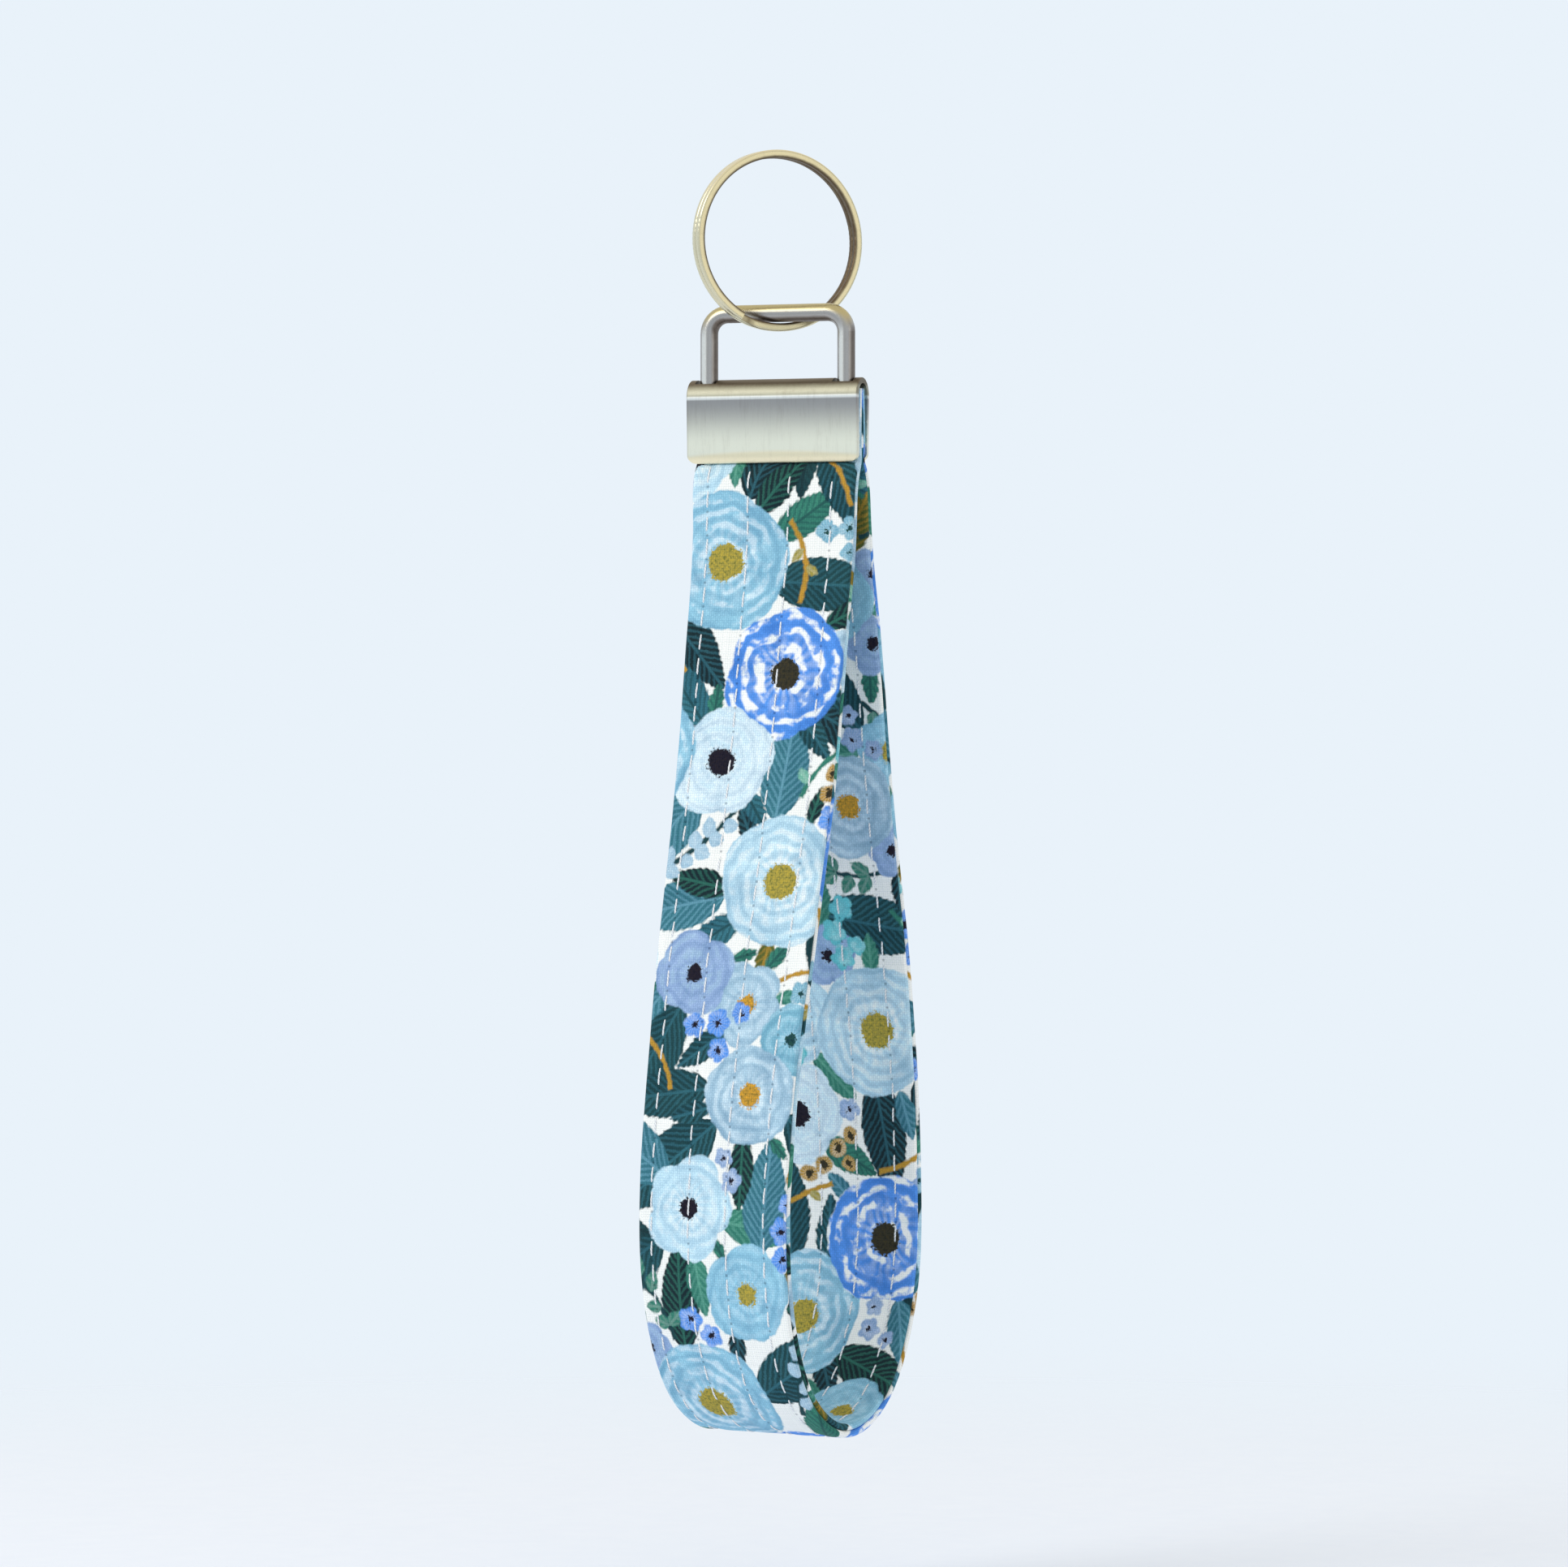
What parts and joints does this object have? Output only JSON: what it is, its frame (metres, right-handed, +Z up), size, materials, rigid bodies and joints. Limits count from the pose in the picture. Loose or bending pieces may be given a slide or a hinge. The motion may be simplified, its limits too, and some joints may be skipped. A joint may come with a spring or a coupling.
{
  "type": "wristlet keychain",
  "caption": "Wristlet key fob: split ring, rectangular wire bail and folded sheet clamp holding a topstitched printed fabric wrist loop.",
  "frame": {"origin": "centre of the split ring's bore, where a peg or hook holds the part up", "axes": "+Z up, away from the hanging strap; +X along the clamp's width; the face seen first looks along -Y"},
  "size_m": [0.032, 0.0408, 0.1797],
  "materials": {
    "ring_brass": "antique brass plate, burnished",
    "bail_brass": "antique brass plate, burnished",
    "clamp_brass": "antique brass plate, brushed up and down",
    "printed_cotton": "printed plain weave",
    "interfacing": "needled felt",
    "white_thread": "twisted polyester"
  },
  "bodies": {
    "ring": {"split_ring": "ring_brass"},
    "bail_loop": {"bail": "bail_brass"},
    "clamp_and_ends": {"clamp": "clamp_brass", "strap_cover_tails": "printed_cotton", "strap_core_tails": "interfacing"},
    "strap_loop": {"strap_cover_loop": "printed_cotton", "strap_core_loop": "interfacing", "needle_thread_1": "white_thread", "bobbin_thread_1": "white_thread", "needle_thread_2": "white_thread", "bobbin_thread_2": "white_thread", "needle_thread_3": "white_thread", "bobbin_thread_3": "white_thread", "needle_thread_4": "white_thread", "bobbin_thread_4": "white_thread"}
  },
  "joints": [
    {"name": "bail_swing", "type": "hinge", "parent": "ring", "child": "bail_loop", "pos_m": [0, 0, -0.01015], "axis": [1, 0, 0], "range_deg": [-100, 100]},
    {"name": "clamp_tilt", "type": "hinge", "parent": "bail_loop", "child": "clamp_and_ends", "pos_m": [0, 0, -0.02155], "axis": [1, 0, 0], "range_deg": [-10, 10]},
    {"name": "strap_flex", "type": "hinge", "parent": "clamp_and_ends", "child": "strap_loop", "pos_m": [0, 0, -0.03145], "axis": [1, 0, 0], "range_deg": [-20, 20]}
  ]
}
